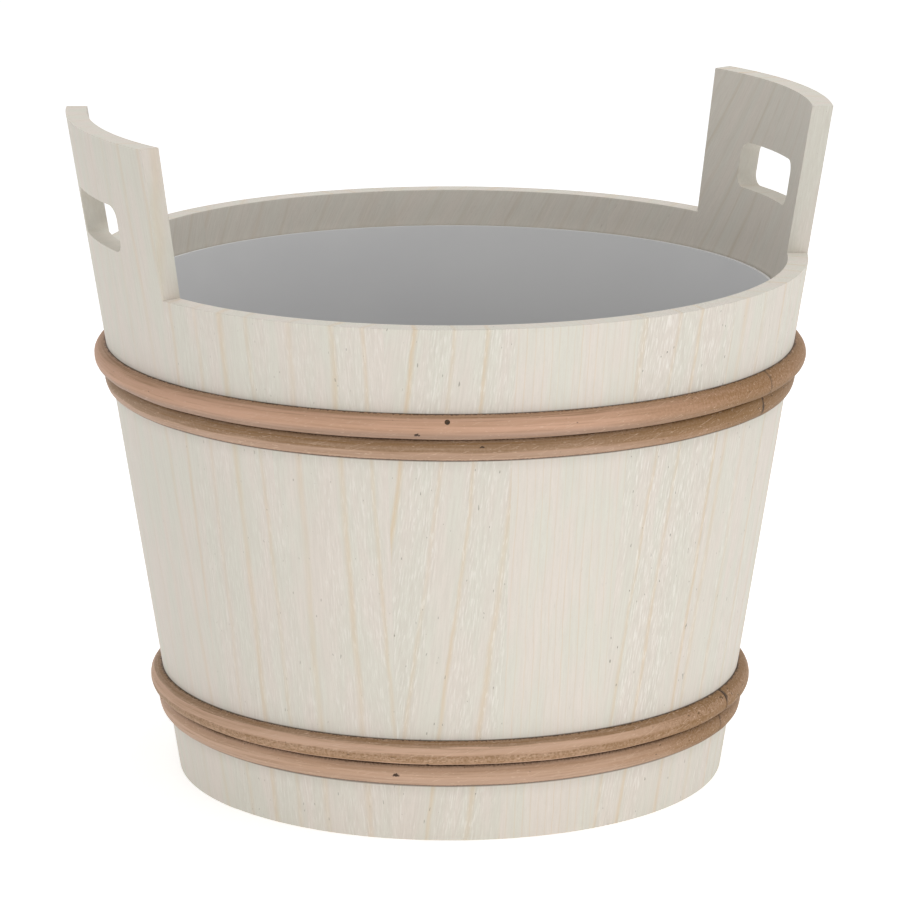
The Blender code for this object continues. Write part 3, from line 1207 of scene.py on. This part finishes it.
# dull nail steel, darkened by damp
nailSteel = {
    "dark": tone(58, 50, 40),
    "rust": tone(84, 62, 42),
    "rustShows": (0.4, 0.65),
    "spotWaves": 900,
    "spotDetail": 3.0,
    "roughness": 0.55,
    "spotRoughness": 0.2,
    "metallic": 0.6,
    "bump": 0.2,
    "bumpHeight": 0.0002,
}


def nailFinish():
    bench = newFinish("nailSteel")
    place = bench.objectPlace()
    spots = bench.noise(*(axis * nailSteel["spotWaves"] for axis in place), nailSteel["spotDetail"])
    return bench.finish(
        Base_Color=bench.mix(spots.span(*nailSteel["rustShows"]), nailSteel["dark"], nailSteel["rust"]),
        Roughness=nailSteel["roughness"] + spots * nailSteel["spotRoughness"],
        Metallic=nailSteel["metallic"],
        Normal=bench.bump(spots, nailSteel["bump"], nailSteel["bumpHeight"]),
    )


# nails: a small domed head on a pointed shank, set square to the cane
nail = {
    "head": 0.0014,
    "headHeight": 0.0008,
    "headSides": 20,
    "shoulder": 0.35,
    "dome": 0.25,
    "shank": 0.0008,
    "length": 0.0110,
    "point": 0.15,
    "turn": math.radians(44),
    "sharp": 50,
}
nailPlaces = {
    "upper_pair_top_hoop": (-110.4, 90),
    "upper_pair_under_hoop": (50, 130),
    "lower_pair_top_hoop": (50, 130),
    "lower_pair_under_hoop": (90, 170),
}


def makeNail():
    deselectAll()
    headHeight = nail["headHeight"]
    bpy.ops.mesh.primitive_cylinder_add(
        vertices=nail["headSides"], radius=nail["head"], depth=headHeight, location=(0, 0, -headHeight / 2)
    )
    piece = startPiece("nailPattern")
    choose("FACE", lambda co: co.z > -within["weld"])
    bpy.ops.mesh.inset(thickness=nail["head"] * nail["shoulder"])
    bpy.ops.transform.translate(value=(0, 0, headHeight * nail["dome"]))
    choose("FACE", lambda co: co.z < within["weld"] - headHeight)
    bpy.ops.mesh.inset(thickness=nail["head"] - nail["shank"])
    bpy.ops.mesh.extrude_region_move(TRANSFORM_OT_translate={"value": (0, 0, -nail["length"])})
    bpy.ops.transform.resize(value=(nail["point"], nail["point"], 1))
    turnOutwards()
    objectMode()
    piece.data.materials.append(nailFinish())
    smooth(piece, nail["sharp"])
    return piece


def nailPlace(hoop, degrees):
    half = hoop["width"] / 2
    depth = hoop["bulge"] - hoopMake["seat"]
    up = hoop["side"] * half + half * math.sin(nail["turn"])
    out = hoopMake["seat"] + depth * math.cos(nail["turn"])
    lean = math.atan2(depth * math.sin(nail["turn"]), half * math.cos(nail["turn"])) - taper
    radius = outerRadius(hoop["height"]) + up * math.sin(taper) + out * math.cos(taper)
    level = hoop["height"] + up * math.cos(taper) - out * math.sin(taper)
    place = Matrix.Translation((radius, 0, level)) @ Matrix.Rotation(math.pi / 2 - lean, 4, "Y")
    return Matrix.Rotation(math.radians(degrees), 4, "Z") @ place


nailPattern = makeNail()
for hoopName, places in nailPlaces.items():
    for number, degrees in enumerate(places, 1):
        node = f"{hoopName}_nail_{number}"
        piece = copyPiece(nailPattern, node + "_head", nailPlace(hoops[hoopName], degrees))
        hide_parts(node)
        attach(piece, "bucket")
discard(nailPattern)
print("nails made")

# stage: white floor, dim white surroundings, a broad lamp overhead and a low one in front
stage = {
    "floorSize": 14,
    "floorDrop": 0.0002,
    "floor": tone(245, 245, 245),
    "floorRoughness": 0.9,
    "glow": 0.45,
    "lift": 0.08,
    "sky": 0.44,
    "aim": (0, 0, 0.16),
    "top": {"place": (0.25, -0.05, 2.55), "energy": 29, "size": (2.4, 2.4)},
    "front": {"place": (0.15, -2.4, 0.20), "energy": 11, "size": (2.0, 0.5)},
}

# the camera: distance and height in rim radii, angles in degrees, lens and sensor in millimetres
view = {
    "distance": 13.2177,
    "height": 4.1665,
    "heading": -110,
    "tilt": 76.123,
    "turn": -20,
    "lens": 192.86,
    "sensor": 36,
    "reach": 50,
}


def makeFloor():
    deselectAll()
    bpy.ops.mesh.primitive_plane_add(size=stage["floorSize"], location=(0, 0, -stage["floorDrop"]))
    floor = namePiece("floor")
    bench = newFinish("paleFloor")
    glow = bench.mix(bench.looked(), grey(stage["glow"]), grey(stage["glow"] + stage["lift"]))
    paleFloor = bench.finish(
        Base_Color=stage["floor"],
        Roughness=stage["floorRoughness"],
        Emission_Color=glow,
        Emission_Strength=1.0,
    )
    floor.data.materials.append(paleFloor)


def makeWorld():
    bench = Bench(bpy.data.worlds.new("whiteRoom"), "Background")
    bpy.context.scene.world = bench.finish(Color=grey(1), Strength=bench.looked().atLeast(stage["sky"]))


def makeLamp(name, lamp):
    data = bpy.data.lights.new(name, "AREA")
    data.energy = lamp["energy"]
    data.shape = "RECTANGLE"
    data.size, data.size_y = lamp["size"]
    item = bpy.data.objects.new(name, data)
    item.location = lamp["place"]
    aim = Vector(stage["aim"]) - item.location
    item.rotation_euler = aim.to_track_quat("-Z", "Y").to_euler()
    bpy.context.scene.collection.objects.link(item)


def makeCamera():
    data = bpy.data.cameras.new("camera")
    data.sensor_width = view["sensor"]
    data.lens = view["lens"]
    data.dof.use_dof = False
    data.clip_end = view["reach"]
    camera = bpy.data.objects.new("camera", data)
    heading = math.radians(view["heading"])
    away = Vector((math.cos(heading), math.sin(heading), 0)) * view["distance"]
    camera.location = (away + Vector((0, 0, view["height"]))) * cone["rimRadius"]
    camera.rotation_euler = (math.radians(view["tilt"]), 0, math.radians(view["turn"]))
    bpy.context.scene.collection.objects.link(camera)
    bpy.context.scene.camera = camera


makeFloor()
makeWorld()
makeLamp("topLamp", stage["top"])
makeLamp("frontLamp", stage["front"])
makeCamera()
bpy.context.scene.view_settings.view_transform = "Standard"

print("scene ready")
